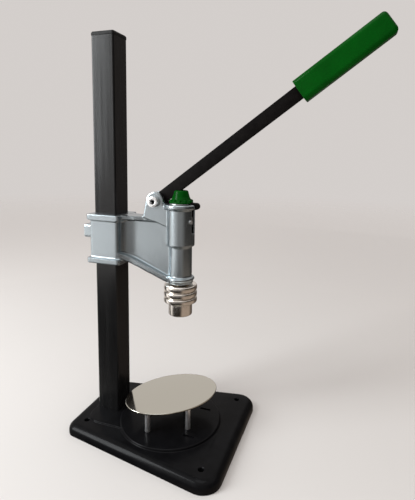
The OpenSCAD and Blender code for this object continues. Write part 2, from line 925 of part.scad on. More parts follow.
module ribbed_collar() {
    crest = collar_d / 2;
    root = crest - 2.1;
    rib = collar_h / 3;
    edge = 0.7;
    valley = 0.55;
    slope = 0.5;
    color("#c4c1ba")
        translate([0, crimp_y, 0])
            difference() {
                rotate_extrude($fn = 96)
                    polygon(concat(
                        [[0, collar_bot], [root, collar_bot]],
                        [
                            for (i = [0:2], p = [
                                [root, valley], [crest - edge, valley + slope],
                                [crest, valley + slope + edge],
                                [crest, rib - valley - slope - edge],
                                [crest - edge, rib - valley - slope], [root, rib - valley]
                            ])
                                [p[0], collar_bot + rib * i + p[1]]
                        ],
                        [[root, collar_top], [0, collar_top]]
                    ));
                translate([0, 0, collar_bot - 1])
                    cylinder(h = collar_h - collar_web_t + 1, d = die_d + 2 * seat_gap);
                translate([0, 0, collar_bot])
                    cylinder(h = collar_h + 1, d = ram_d + 2 * seat_gap);
                translate([0, 0, collar_screw_z])
                    rod_x(ram_d / 2, collar_d, collar_screw_d + 2 * seat_gap);
            }
}

module collar_screw() {
    outer = collar_d / 2 - 2.6;
    socket_deep = 2.5;
    color("#2c2e31")
        translate([0, crimp_y, collar_screw_z])
            difference() {
                rod_x(ram_d / 2 + side_gap, outer, collar_screw_d);
                translate([outer - socket_deep, 0, 0])
                    rotate([0, 90, 0])
                        cylinder(h = socket_deep + 1, d = collar_screw_d * 0.55, $fn = 6);
            }
}

module crimp_sleeve() {
    edge = 0.8;
    color("#c8c4bc")
        translate([0, crimp_y, die_bot])
            difference() {
                union() {
                    cylinder(h = edge, d1 = die_d - 2 * edge, d2 = die_d);
                    translate([0, 0, edge])
                        cylinder(h = collar_web_z - die_bot - edge, d = die_d);
                }
                translate([0, 0, -1])
                    cylinder(h = collar_web_z - die_bot, d = collet_nose_d + 2 * clear_gap);
                translate([0, 0, lip_h])
                    cylinder(h = collar_web_z - die_bot, d = die_bore_d);
            }
}

module crimp_collet() {
    slit_w = 1.2;
    color("#d5d2cb")
        translate([0, crimp_y, 0])
            difference() {
                union() {
                    translate([0, 0, collet_bot])
                        cylinder(h = collet_top - collet_bot, d = collet_nose_d);
                    translate([0, 0, collet_shoulder_z])
                        cylinder(h = collet_top - collet_shoulder_z, d = collet_shoulder_d);
                }
                translate([0, 0, collet_bot - 1])
                    cylinder(h = collet_depth + 1, d = collet_bore_d);
                translate([0, 0, collet_bot])
                    cylinder(h = collet_top, d = stem_hole_d);
                for (a = [0:60:300])
                    rotate(a + 30)
                        translate([stem_hole_d / 2, -slit_w / 2, collet_bot - 1])
                            cube([collet_shoulder_d, slit_w, collet_depth + 1]);
            }
}

module collet_spring() {
    color("#a7abb0")
        translate([0, crimp_y, 0])
            coil(collet_mean_d, collet_wire_d, collet_spring_low, collet_spring_high, collet_turns);
}

base_plate();
foot_bolts();
column();
column_foot_block();
column_cap();
riser_plate();
riser_posts();
head_casting();
guide_bush();
guide_screw();
pivot_bolt();
pivot_nut();
thrust_washers();
lock_pad();
lock_screw();
lever_bar();
pivot_bush();
hand_grip();
ram();
contact_pin();
ram_cap();
return_spring();
ribbed_collar();
collar_screw();
crimp_sleeve();
crimp_collet();
collet_spring();
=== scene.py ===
# %% [markdown]
# # Dressing a perfume crimper for the bench
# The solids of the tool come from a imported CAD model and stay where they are. This lesson gives
# them their finishes, and models again the pieces whose edges are softer than the CAD has them.
# Everything is in metres. The origin is on the bench, on the axis of the column, +Z is up, and the
# operator stands at -Y, where the hand lever points.

import json
import math

import bmesh
import bpy
from mathutils import Matrix, Vector

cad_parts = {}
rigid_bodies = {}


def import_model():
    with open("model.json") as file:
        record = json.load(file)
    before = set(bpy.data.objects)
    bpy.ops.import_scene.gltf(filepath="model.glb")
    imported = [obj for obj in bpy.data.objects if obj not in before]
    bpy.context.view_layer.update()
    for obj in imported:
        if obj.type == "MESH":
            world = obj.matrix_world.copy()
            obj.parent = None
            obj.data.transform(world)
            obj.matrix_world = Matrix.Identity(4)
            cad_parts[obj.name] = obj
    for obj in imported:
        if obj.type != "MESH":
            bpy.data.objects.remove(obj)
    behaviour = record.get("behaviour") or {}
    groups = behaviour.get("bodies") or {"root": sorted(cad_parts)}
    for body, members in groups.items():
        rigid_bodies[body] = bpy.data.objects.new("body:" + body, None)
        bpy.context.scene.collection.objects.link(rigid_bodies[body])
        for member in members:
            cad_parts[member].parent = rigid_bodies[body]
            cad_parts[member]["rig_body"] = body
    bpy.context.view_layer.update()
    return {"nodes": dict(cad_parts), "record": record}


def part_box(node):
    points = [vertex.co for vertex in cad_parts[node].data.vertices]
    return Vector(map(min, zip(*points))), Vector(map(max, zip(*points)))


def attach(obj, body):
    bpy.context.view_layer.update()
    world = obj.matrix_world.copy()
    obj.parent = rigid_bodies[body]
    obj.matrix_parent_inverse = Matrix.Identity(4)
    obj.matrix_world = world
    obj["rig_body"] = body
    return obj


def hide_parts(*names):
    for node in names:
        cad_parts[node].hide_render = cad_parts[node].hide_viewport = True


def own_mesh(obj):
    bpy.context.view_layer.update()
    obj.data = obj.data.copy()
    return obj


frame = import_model()
nodes = frame["nodes"]
scene = bpy.context.scene
scene.view_settings.view_transform = "Standard"
print("CAD nodes loaded:", len(nodes))

# %% [markdown]
# ## Camera
# A camera can be aimed by eye or worked out. This one was worked out from edges of known length
# on the tool: the column, the outline of the base and its screw holes. The lens looks a little
# down, and the frame is shifted, so the column's sides lean as they do in a close picture.

# %% Camera at the working distance
FRAME_HEIGHT_PX = 500
SENSOR_MM = 36.0
FOCAL_PX = 421.7
AXIS_ROW_PX = 215.3
EYE = Vector((-0.4540, -0.2891, 0.3483))
AHEAD = Vector((0.9323, 0.3316, -0.1444)).normalized()
ROLL = math.radians(0.96)

level = AHEAD.cross(Vector((0, 0, 1))).normalized()
above = level.cross(AHEAD)
right = level * math.cos(ROLL) + above * math.sin(ROLL)
up = right.cross(AHEAD)

lens = bpy.data.cameras.new("bench_camera")
lens.sensor_fit = "VERTICAL"
lens.sensor_height = SENSOR_MM
lens.lens = FOCAL_PX * SENSOR_MM / FRAME_HEIGHT_PX
lens.shift_y = (AXIS_ROW_PX - FRAME_HEIGHT_PX / 2) / FRAME_HEIGHT_PX
lens.clip_start = 0.01
camera = bpy.data.objects.new("bench_camera", lens)
scene.collection.objects.link(camera)
camera.matrix_world = Matrix.Translation(EYE) @ Matrix((right, up, -AHEAD)).transposed().to_4x4()
scene.camera = camera
print("camera lens:", round(lens.lens, 2), "mm")

# %% [markdown]
# ## Room and light
# Bare metal shows the room more than its own colour. So the room has a pale, even world, a tall
# soft window on one side of the camera and a soft light above.

# %% World and lamps
TARGET = Vector((0.0, -0.06, 0.24))
ROOM = (0.655, 0.62, 0.60)
DAYLIGHT = (0.94, 0.98, 1.0)


def from_target(azimuth, elevation, distance):
    """A point round the tool, by compass angle and height angle in degrees."""
    turn, lift = math.radians(azimuth), math.radians(elevation)
    flat = math.cos(lift)
    way = Vector((flat * math.cos(turn), flat * math.sin(turn), math.sin(lift)))
    return TARGET + way * distance


def facing(point):
    """A turn and place at the point that looks at the tool along local -Z."""
    turn = (TARGET - point).to_track_quat("-Z", "Y").to_matrix().to_4x4()
    return Matrix.Translation(point) @ turn


def soft_lamp(name, azimuth, elevation, distance, width, height, watts):
    """A flat soft light that faces the tool."""
    lamp = bpy.data.lights.new(name, "AREA")
    lamp.shape = "RECTANGLE"
    lamp.size, lamp.size_y = width, height
    lamp.energy = watts
    lamp.color = DAYLIGHT
    holder = bpy.data.objects.new(name, lamp)
    scene.collection.objects.link(holder)
    holder.matrix_world = facing(from_target(azimuth, elevation, distance))
    print(name, "at", [round(v, 2) for v in holder.location])


room = bpy.data.worlds.new("pale_room")
room.use_nodes = True
room.node_tree.nodes["Background"].inputs["Color"].default_value = (*ROOM, 1)
room.node_tree.nodes["Background"].inputs["Strength"].default_value = 1.0
scene.world = room
soft_lamp("window", azimuth=130, elevation=22, distance=1.3, width=0.48, height=1.05, watts=18.5)
soft_lamp("overhead", azimuth=170, elevation=78, distance=1.3, width=0.8, height=0.8, watts=3.5)

# %% [markdown]
# ## Dark cards as painted reflections
# In an even room, metal and black paint look flat. A studio hangs dark cards where the object
# should mirror something dark. These three are painted reflections: they glow with their own
# colour, show in reflections only and cast no shadow. An upright one and a flat one round the
# operator's side stand in for a dark room, and a flat brown one near the tool, darker towards the
# camera, stands in for a brown bench. Each is one edge spun round the tool. Its material fades by
# compass angle, so no hard edge of it shows in the metal.

# %% Cards that show in reflections
SEAM = 90
CARD_STEPS = 48


def compass_share(azimuth):
    """Where a compass angle lies on a ramp that starts and ends at the seam."""
    return (azimuth - SEAM) / 360


def compass_ramp(tree, stops):
    """Values by compass angle round the object's own vertical axis."""
    spot = tree.nodes.new("ShaderNodeTexCoord")
    turn = tree.nodes.new("ShaderNodeMapping")
    turn.inputs["Rotation"].default_value = (0, 0, math.radians(180 - SEAM))
    compass = tree.nodes.new("ShaderNodeTexGradient")
    compass.gradient_type = "RADIAL"
    ramp = tree.nodes.new("ShaderNodeValToRGB")
    marks = ramp.color_ramp.elements
    for azimuth, value in stops:
        marks.new(compass_share(azimuth)).color = (*value, 1)
    marks.remove(marks[0])
    marks.remove(marks[-1])
    tree.links.new(spot.outputs["Object"], turn.inputs["Vector"])
    tree.links.new(turn.outputs["Vector"], compass.inputs["Vector"])
    tree.links.new(compass.outputs["Fac"], ramp.inputs["Fac"])
    return ramp.outputs["Color"]


def mirrored_card(name, profile, start, end, cover, colour):
    """A card spun from an edge, seen in reflections only."""
    shape = bmesh.new()
    turn = Matrix.Rotation(math.radians(start), 3, "Z")
    points = [shape.verts.new(turn @ Vector((r, 0, z))) for r, z in profile]
    edges = [shape.edges.new(pair) for pair in zip(points, points[1:])]
    bmesh.ops.spin(
        shape, geom=points + edges, cent=(0, 0, 0), axis=(0, 0, 1),
        angle=math.radians(end - start), steps=CARD_STEPS,
    )
    mesh = bpy.data.meshes.new(name)
    shape.to_mesh(mesh)
    shape.free()
    card = bpy.data.objects.new(name, mesh)
    scene.collection.objects.link(card)
    card.location = (TARGET.x, TARGET.y, 0)
    card.visible_camera = card.visible_diffuse = card.visible_shadow = False

    # The card glows with its own colour and shows in reflections only: a painted reflection.
    painted_reflection = bpy.data.materials.new(name + "_cloth")
    painted_reflection.use_nodes = True
    tree = painted_reflection.node_tree
    tree.nodes.remove(tree.nodes["Principled BSDF"])
    clear = tree.nodes.new("ShaderNodeBsdfTransparent")
    glow = tree.nodes.new("ShaderNodeEmission")
    blend = tree.nodes.new("ShaderNodeMixShader")
    tree.links.new(compass_ramp(tree, cover), blend.inputs["Fac"])
    tree.links.new(compass_ramp(tree, colour), glow.inputs["Color"])
    tree.links.new(clear.outputs[0], blend.inputs[1])
    tree.links.new(glow.outputs[0], blend.inputs[2])
    tree.links.new(blend.outputs[0], tree.nodes["Material Output"].inputs["Surface"])
    card.data.materials.append(painted_reflection)
    print(name, len(mesh.polygons), "faces")


NONE, HALF, ALL = (0, 0, 0), (0.5, 0.5, 0.5), (1, 1, 1)
GLOOM, BROWN = (0.020, 0.017, 0.015), (0.360, 0.290, 0.235)
DUSK, DIM = (0.105, 0.082, 0.067), (0.150, 0.130, 0.120)
INNER_R, MIDDLE_R, OUTER_R = 0.02, 0.75, 1.6
CARD_Z, CARD_TOP = 0.0009, 1.3
CARD_START, CARD_END, LOW_START, LOW_END = 152, 376, 100, 440
ROUND_FRONT = ((154, NONE), (182, HALF), (212, HALF), (238, ALL))
mirrored_card(
    "far_card", ((MIDDLE_R, CARD_Z), (OUTER_R, CARD_Z)), CARD_START, CARD_END,
    cover=ROUND_FRONT + ((352, ALL), (374, NONE)),
    colour=((CARD_START, GLOOM), (CARD_END, GLOOM)))
mirrored_card(
    "upright_card", ((OUTER_R, CARD_Z), (OUTER_R, CARD_TOP)), CARD_START, CARD_END,
    cover=ROUND_FRONT + ((344, ALL), (366, NONE)),
    colour=((CARD_START, GLOOM), (296, GLOOM), (322, DIM), (CARD_END, DIM)))
mirrored_card(
    "low_card", ((INNER_R, CARD_Z), (MIDDLE_R, CARD_Z)), LOW_START, LOW_END,
    cover=((LOW_START, NONE), (136, ALL), (400, ALL), (436, NONE)),
    colour=((130, GLOOM), (208, GLOOM), (226, BROWN), (296, BROWN), (318, DUSK), (420, DUSK)))

# %% [markdown]
# ## Finishes
# Every finish starts from one shader. Noise on Object coordinates, in metres, then varies its
# colour and roughness and raises its grain, so each pattern can be written in real sizes.

# %% Finishes: the shader


def new_finish(name, colour, metallic, roughness):
    """A finish with its plain values on the shader's own sockets."""
    finish = bpy.data.materials.new(name)
    finish.use_nodes = True
    shader = finish.node_tree.nodes["Principled BSDF"]
    shader.inputs["Base Color"].default_value = (*colour, 1)
    shader.inputs["Metallic"].default_value = metallic
    shader.inputs["Roughness"].default_value = roughness
    return finish


def shader_of(finish):
    """The one shader that every finish starts from."""
    return finish.node_tree.nodes["Principled BSDF"]


def gloss(finish, specular, coat=0.0, coat_roughness=0.1):
    """How much a paint or plastic mirrors: its own skin, and a clear coat on it."""
    shader_of(finish).inputs["Specular IOR Level"].default_value = specular
    shader_of(finish).inputs["Coat Weight"].default_value = coat
    shader_of(finish).inputs["Coat Roughness"].default_value = coat_roughness


print("shader helpers ready")

# %% [markdown]
# Soft noise gives blotches, and noise that is stretched along one axis gives streaks. Rings from a
# lathe are even, so a wave texture makes them.

# %% Finishes: patterns


def placed(finish, stretch=(1, 1, 1), turn=(0, 0, 0)):
    """Object coordinates, stretched and turned for a pattern with a direction."""
    tree = finish.node_tree
    spot = tree.nodes.new("ShaderNodeTexCoord")
    mapping = tree.nodes.new("ShaderNodeMapping")
    mapping.inputs["Rotation"].default_value = turn
    mapping.inputs["Scale"].default_value = stretch
    tree.links.new(spot.outputs["Object"], mapping.inputs["Vector"])
    return mapping.outputs["Vector"]


def speckle(finish, size, detail=3.0, **place):
    """Noise whose blotches are about size metres across."""
    tree = finish.node_tree
    noise = tree.nodes.new("ShaderNodeTexNoise")
    noise.inputs["Scale"].default_value = 1 / size
    noise.inputs["Detail"].default_value = detail
    tree.links.new(placed(finish, **place), noise.inputs["Vector"])
    return noise.outputs[0]


def turned_lines(finish, pitch):
    """Fine rings round a vertical axis, as a lathe tool leaves them, by their pitch in metres."""
    tree = finish.node_tree
    wave = tree.nodes.new("ShaderNodeTexWave")
    wave.bands_direction = "Z"
    # A wave texture has 20 / (2 pi) bands to each unit of its scale.
    wave.inputs["Scale"].default_value = 2 * math.pi / (20 * pitch)
    wave.inputs["Distortion"].default_value = 0.6
    wave.inputs["Detail"].default_value = 2.0
    tree.links.new(placed(finish), wave.inputs["Vector"])
    return wave.outputs["Fac"]


print("pattern helpers ready")

# %% [markdown]
# A pattern runs from 0 to 1, but most of its values lie near the middle. So it is spread over a
# span before it drives a roughness or a colour. A grain is raised by its real height.

# %% Finishes: what a pattern changes


def spread(finish, pattern, low, high, start=0.3, end=0.7):
    """Spreads a pattern over a span of values."""
    tree = finish.node_tree
    span = tree.nodes.new("ShaderNodeMapRange")
    span.inputs["From Min"].default_value = start
    span.inputs["From Max"].default_value = end
    span.inputs["To Min"].default_value = low
    span.inputs["To Max"].default_value = high
    tree.links.new(pattern, span.inputs["Value"])
    return span.outputs["Result"]


def vary_roughness(finish, pattern, low, high):
    """Spreads a pattern over a span of roughness."""
    values = spread(finish, pattern, low, high)
    finish.node_tree.links.new(values, shader_of(finish).inputs["Roughness"])


def vary_colour(finish, pattern, dark, light, start=0.3, end=0.7):
    """Spreads a pattern between two tones of one colour."""
    tree = finish.node_tree
    ramp = tree.nodes.new("ShaderNodeValToRGB")
    ramp.color_ramp.elements[0].position = start
    ramp.color_ramp.elements[0].color = (*dark, 1)
    ramp.color_ramp.elements[1].position = end
    ramp.color_ramp.elements[1].color = (*light, 1)
    tree.links.new(pattern, ramp.inputs["Fac"])
    tree.links.new(ramp.outputs["Color"], shader_of(finish).inputs["Base Color"])


def raise_grain(finish, pattern, height):
    """Raises a pattern by a height in metres, on top of any grain that is there."""
    tree = finish.node_tree
    normal = shader_of(finish).inputs["Normal"]
    bump = tree.nodes.new("ShaderNodeBump")
    bump.inputs["Strength"].default_value = 1.0
    bump.inputs["Distance"].default_value = height
    tree.links.new(pattern, bump.inputs["Height"])
    if normal.links:
        tree.links.new(normal.links[0].from_socket, bump.inputs["Normal"])
    tree.links.new(bump.outputs["Normal"], normal)


def tones(colour, share):
    """A darker and a lighter tone of a colour."""
    return tuple(c * (1 - share) for c in colour), tuple(c * (1 + share) for c in colour)


print("finish helpers ready")

# %% [markdown]
# ## Floor
# The floor is a wide pale disc that only catches the shadow. A hard edge would draw a horizon
# behind the tool, so the disc grows paler outwards, as a lit backdrop does, and fades into the
# room.

# %% Pale floor
FLOOR_RADIUS, FADE_START, FADE_END = 5.0, 0.7, 3.2
FLOOR_NEAR, FLOOR_FAR = (0.70, 0.675, 0.655), (0.96, 0.92, 0.895)

shape = bmesh.new()
bmesh.ops.create_circle(shape, cap_ends=True, radius=FLOOR_RADIUS, segments=96)
mesh = bpy.data.meshes.new("pale_floor")
shape.to_mesh(mesh)
shape.free()
floor = bpy.data.objects.new("pale_floor", mesh)
scene.collection.objects.link(floor)

floor_paint = new_finish("floor_paint", FLOOR_NEAR, 0.0, 0.8)
gloss(floor_paint, 0.2)
reach = floor_paint.node_tree.nodes.new("ShaderNodeVectorMath")
reach.operation = "LENGTH"
floor_paint.node_tree.links.new(placed(floor_paint), reach.inputs[0])
away = spread(floor_paint, reach.outputs["Value"], 0, 1, FADE_START / 2, FADE_END)
vary_colour(floor_paint, away, FLOOR_NEAR, FLOOR_FAR, 0.0, 1.0)
seen = spread(floor_paint, reach.outputs["Value"], 1, 0, FADE_START, FADE_END)
floor_paint.node_tree.links.new(seen, shader_of(floor_paint).inputs["Alpha"])
floor.data.materials.append(floor_paint)
print("floor:", len(mesh.polygons), "face")

# %% [markdown]
# ## Paints
# The base is a casting under black stove paint that flows into long soft waves, with a thin gloss
# on top. The column and the lever have a thinner satin black. The head is sprayed silver-grey: fine
# metal flakes under a thin clear skin, so even that only a broad, faint change of tone shows.

# %% Paints
BASE_BLACK = (0.0042, 0.0042, 0.0048)
base_paint = new_finish("base_paint", BASE_BLACK, 0.0, 0.4)
gloss(base_paint, 0.03, 0.12, 0.16)
vary_colour(base_paint, speckle(base_paint, 0.012), *tones(BASE_BLACK, 0.25))
vary_roughness(base_paint, speckle(base_paint, 0.03), 0.34, 0.46)
raise_grain(base_paint, speckle(base_paint, 0.035, 1.0), 0.0001)
raise_grain(base_paint, speckle(base_paint, 0.0022, 1.0), 0.000008)

COLUMN_BLACK = (0.0056, 0.0056, 0.0058)
column_paint = new_finish("column_satin", COLUMN_BLACK, 0.0, 0.34)
gloss(column_paint, 0.38, 0.05, 0.16)
streaks = speckle(column_paint, 0.003, stretch=(1, 1, 0.06))
vary_colour(column_paint, streaks, *tones(COLUMN_BLACK, 0.3))
long_streaks = speckle(column_paint, 0.006, stretch=(1, 1, 0.03))
vary_roughness(column_paint, long_streaks, 0.18, 0.28)
drawn_lines = speckle(column_paint, 0.0016, 2.0, stretch=(1, 1, 0.04))
raise_grain(column_paint, drawn_lines, 0.00001)

LEVER_BLACK = (0.0050, 0.0042, 0.0040)
lever_paint = new_finish("lever_satin", LEVER_BLACK, 0.0, 0.4)
gloss(lever_paint, 0.05)
vary_colour(lever_paint, speckle(lever_paint, 0.006), *tones(LEVER_BLACK, 0.25))
vary_roughness(lever_paint, speckle(lever_paint, 0.02), 0.32, 0.46)
raise_grain(lever_paint, speckle(lever_paint, 0.0008, 2.0), 0.00001)

SILVER = (0.382, 0.428, 0.452)
head_paint = new_finish("head_silver", SILVER, 0.95, 0.27)
gloss(head_paint, 0.4, 0.12, 0.16)
vary_colour(head_paint, speckle(head_paint, 0.08, 0.0), *tones(SILVER, 0.02))
print("paints:", base_paint.name, column_paint.name, lever_paint.name, head_paint.name)

# %% [markdown]
# ## Metals and plastic
# The die parts are turned steel with fine rings from the lathe. The riser is polished like a
# mirror, with hairlines left by the polishing belt. Small screws are zinc plated or blackened. The
# grip and the ram's cap are green plastic with a thin gloss.

# %% Metals and plastic
DIE = (0.86, 0.815, 0.755)
die_steel = new_finish("turned_die_steel", DIE, 1.0, 0.2)
vary_colour(die_steel, speckle(die_steel, 0.006), *tones(DIE, 0.06))
vary_roughness(die_steel, turned_lines(die_steel, 0.0011), 0.14, 0.24)
raise_grain(die_steel, turned_lines(die_steel, 0.00035), 0.000004)

STEEL = (0.50, 0.505, 0.51)
plain_steel = new_finish("ground_steel", STEEL, 1.0, 0.3)
vary_colour(plain_steel, speckle(plain_steel, 0.004), *tones(STEEL, 0.1))
vary_roughness(plain_steel, turned_lines(plain_steel, 0.0009), 0.24, 0.36)

MIRROR = (0.67, 0.65, 0.575)
mirror_steel = new_finish("mirror_steel", MIRROR, 1.0, 0.07)
hairline = speckle(mirror_steel, 0.002, 4.0, stretch=(8, 0.25, 1), turn=(0, 0, 0.7))
vary_roughness(mirror_steel, hairline, 0.05, 0.11)
raise_grain(mirror_steel, speckle(mirror_steel, 0.03, 1.0), 0.00001)

ZINC = (0.90, 0.90, 0.90)
zinc_steel = new_finish("zinc_plate", ZINC, 0.9, 0.34)
vary_colour(zinc_steel, speckle(zinc_steel, 0.004), *tones(ZINC, 0.05))
vary_roughness(zinc_steel, speckle(zinc_steel, 0.004), 0.28, 0.36)

OXIDE = (0.05, 0.05, 0.053)
dark_steel = new_finish("black_oxide", OXIDE, 0.9, 0.4)
vary_colour(dark_steel, speckle(dark_steel, 0.002), *tones(OXIDE, 0.25))
vary_roughness(dark_steel, speckle(dark_steel, 0.001), 0.32, 0.48)

SPRING = (0.42, 0.425, 0.43)
spring_steel = new_finish("spring_wire", SPRING, 1.0, 0.28)
vary_colour(spring_steel, speckle(spring_steel, 0.003), *tones(SPRING, 0.12))
vary_roughness(spring_steel, speckle(spring_steel, 0.001), 0.22, 0.34)

BRONZE = (0.50, 0.33, 0.16)
bronze = new_finish("bearing_bronze", BRONZE, 1.0, 0.32)
vary_colour(bronze, speckle(bronze, 0.003), *tones(BRONZE, 0.12))
vary_roughness(bronze, turned_lines(bronze, 0.0008), 0.26, 0.4)

BRASS = (0.62, 0.44, 0.17)
brass = new_finish("pad_brass", BRASS, 1.0, 0.3)
vary_colour(brass, speckle(brass, 0.002), *tones(BRASS, 0.1))
vary_roughness(brass, speckle(brass, 0.0012), 0.24, 0.38)

GREEN = (0.0006, 0.055, 0.0030)
green_plastic = new_finish("green_plastic", GREEN, 0.0, 0.3)
gloss(green_plastic, 0.02, 0.09, 0.1)
vary_colour(green_plastic, speckle(green_plastic, 0.02), *tones(GREEN, 0.14))
vary_roughness(green_plastic, speckle(green_plastic, 0.008), 0.24, 0.38)
raise_grain(green_plastic, speckle(green_plastic, 0.006, 1.0), 0.00002)

CAP_BLACK = (0.0075, 0.0070, 0.0070)
cap_plastic = new_finish("cap_plastic", CAP_BLACK, 0.0, 0.5)
gloss(cap_plastic, 0.2)
vary_colour(cap_plastic, speckle(cap_plastic, 0.002), *tones(CAP_BLACK, 0.2))
vary_roughness(cap_plastic, speckle(cap_plastic, 0.01), 0.42, 0.56)
raise_grain(cap_plastic, speckle(cap_plastic, 0.0007), 0.000015)
print("metals and plastics:", len(bpy.data.materials), "materials in all")

# %% [markdown]
# ## Finishes on the CAD pieces
# A CAD solid whose shape is already right stays as it is. Its material slot gets the new finish.

# %% Finishes on CAD nodes
finish_of_slot = {
    "black_paint": base_paint, "column_paint": column_paint, "plain_steel": plain_steel,
    "zinc_steel": zinc_steel, "black_plastic": cap_plastic, "polished_steel": mirror_steel,
    "silver_paint": head_paint, "bronze": bronze, "dark_steel": dark_steel, "brass": brass,
    "lever_black": lever_paint, "green_plastic": green_plastic, "spring_steel": spring_steel,
    "die_steel": die_steel,
}
slot_of_node = {part["node"]: part["material_slot"] for part in frame["record"]["subparts"]}
for name, solid in nodes.items():
    solid.material_slots[0].material = finish_of_slot[slot_of_node[name]]
print("finished CAD nodes:", len(slot_of_node))

# %% [markdown]
# ## From a bmesh to a piece
# Every new piece ends the same way: its mesh is shaded smooth between sharp edges, it is painted
# with the finish of its CAD solid's slot, it rides on that solid's body, and the CAD solid is
# hidden.

# %% From a bmesh to a piece
SHARP = math.radians(32)


def object_from(shape, name):
    """Puts a bmesh into a new object at the origin."""
    mesh = bpy.data.meshes.new(name)
    shape.to_mesh(mesh)
    shape.free()
    thing = bpy.data.objects.new(name, mesh)
    scene.collection.objects.link(thing)
    return thing


def stands_for(thing, node):
    """Shades a piece, paints it and lets it stand for a CAD node."""
    mesh = thing.data
    mesh.shade_smooth()
    mesh.set_sharp_from_angle(angle=SHARP)
    mesh.materials.clear()
    mesh.materials.append(finish_of_slot[slot_of_node[node]])
    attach(thing, nodes[node]["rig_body"])
    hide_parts(node)
    along_axes = list(zip(*(v.co for v in mesh.vertices)))
    size = [round(1000 * (max(a) - min(a)), 1) for a in along_axes]
    print(thing.name, len(mesh.polygons), "faces,", size, "mm")


print("piece helpers ready")

# %% [markdown]
# ## Base
# The real base is a low casting whose edge rolls down to the bench all round. A trapezoid of four
# vertices gets its corners by a vertex bevel, its height by an extrusion, and its rolled edge by
# an edge bevel. A sculpted mesh would be no rounder and much heavier. The bevel operator's defaults
# differ from the editor's, so one helper gives every value.

# %% Base: the rolled plate
BASE_BACK, BASE_FRONT = 0.035, -0.173
BACK_HALF, FRONT_HALF = 0.058, 0.0945
BASE_TOP, ROLL_R, REAR_R, FRONT_R = 0.013, 0.009, 0.014, 0.022


def rounded(shape, geom, width, segments, affect="EDGES", clamp=False):
    """Rounds edges, or the corners at vertices."""
    bmesh.ops.bevel(
        shape, geom=geom, offset=width, segments=segments, profile=0.5,
        affect=affect, material=-1, clamp_overlap=clamp,
    )


def raised(shape, height):
    """Extrudes the only face of a flat shape upwards, and returns the raised face."""
    grown = bmesh.ops.extrude_face_region(shape, geom=shape.faces[:])["geom"]
    lifted = [g for g in grown if isinstance(g, bmesh.types.BMVert)]
    bmesh.ops.translate(shape, vec=(0, 0, height), verts=lifted)
    return [g for g in grown if isinstance(g, bmesh.types.BMFace)][0]


shape = bmesh.new()
corners = [
    shape.verts.new((x, y, 0)) for x, y in (
        (BACK_HALF, BASE_BACK), (-BACK_HALF, BASE_BACK),
        (-FRONT_HALF, BASE_FRONT), (FRONT_HALF, BASE_FRONT))
]
shape.faces.new(corners)
lean = math.atan((FRONT_HALF - BACK_HALF) / (BASE_BACK - BASE_FRONT))
for pair, corner, radius in (
        (corners[:2], math.pi / 2 + lean, REAR_R), (corners[2:], math.pi / 2 - lean, FRONT_R)):
    rounded(shape, pair, radius / math.tan(corner / 2), 16, "VERTICES")
raised(shape, BASE_TOP)
rim = [e for e in shape.edges if all(v.co.z > BASE_TOP / 2 for v in e.verts)]
rounded(shape, rim, ROLL_R, 10)
bmesh.ops.recalc_face_normals(shape, faces=shape.faces)
base = object_from(shape, "rolled_base")
print("rolled plate:", len(base.data.polygons), "faces")

# %% [markdown]
# A low tab lies under the column. It is a face of four vertices with two round corners. Insets of
# that one face carry the step up in a soft S, hollow at the foot and round at the top. A boolean
# then joins it to the plate.

# %% Base: the tab under the column
SEAT_Y, TAB_HALF, TAB_BACK, TAB_R = -0.082, 0.0425, 0.018, 0.020
SINK, SWELL, SWELL_STEPS = 0.0005, 0.001, 5


def with_modifier(thing, kind, **values):
    """Adds a modifier, keeps its result as the mesh and takes the modifier away."""
    modifier = thing.modifiers.new(kind.lower(), kind)
    for key, value in values.items():
        setattr(modifier, key, value)
    graph = bpy.context.evaluated_depsgraph_get()
    result = bpy.data.meshes.new_from_object(thing.evaluated_get(graph))
    thing.modifiers.clear()
    thing.data = result


def cut(thing, cutter, operation="DIFFERENCE"):
    """Cuts one closed shape out of another, or joins them."""
    with_modifier(thing, "BOOLEAN", object=cutter, operation=operation, solver="EXACT")
    bpy.data.objects.remove(cutter)


shape = bmesh.new()
half, back = TAB_HALF + SWELL, TAB_BACK + SWELL
tab = [shape.verts.new((x, y, BASE_TOP - SINK)) for x, y in (
    (-half, SEAT_Y), (half, SEAT_Y), (half, back), (-half, back))]
shape.faces.new(tab)
rounded(shape, tab[2:], TAB_R, 14, "VERTICES")
face = raised(shape, SINK)
bmesh.ops.recalc_face_normals(shape, faces=shape.faces)
steps = [i * math.pi / 2 / SWELL_STEPS for i in range(SWELL_STEPS + 1)]
path = [(SWELL * math.sin(t), SWELL * (1 - math.cos(t))) for t in steps]
path += [(SWELL * (2 - math.cos(t)), SWELL * (1 + math.sin(t))) for t in steps[1:]]
for (x0, z0), (x1, z1) in zip(path, path[1:]):
    bmesh.ops.inset_region(
        shape, faces=[face], thickness=x1 - x0, depth=z1 - z0,
        use_even_offset=True, use_boundary=True,
    )
tab = object_from(shape, "tab")
print("tab:", len(tab.data.polygons), "faces")
cut(base, tab, "UNION")

# %% [markdown]
# The round seat for the riser stands a little higher than the tab. It is turned, so its profile is
# all there is to draw: a small hollow at the foot and a larger round at the top. A full spin merges
# its own seam, and the points on the axis are merged after it.

# %% Base: the round seat
SEAT_R, SEAT_H, SEAT_ROUND = 0.0635, 0.003, 0.0018
SPUN_WELD = 1e-7


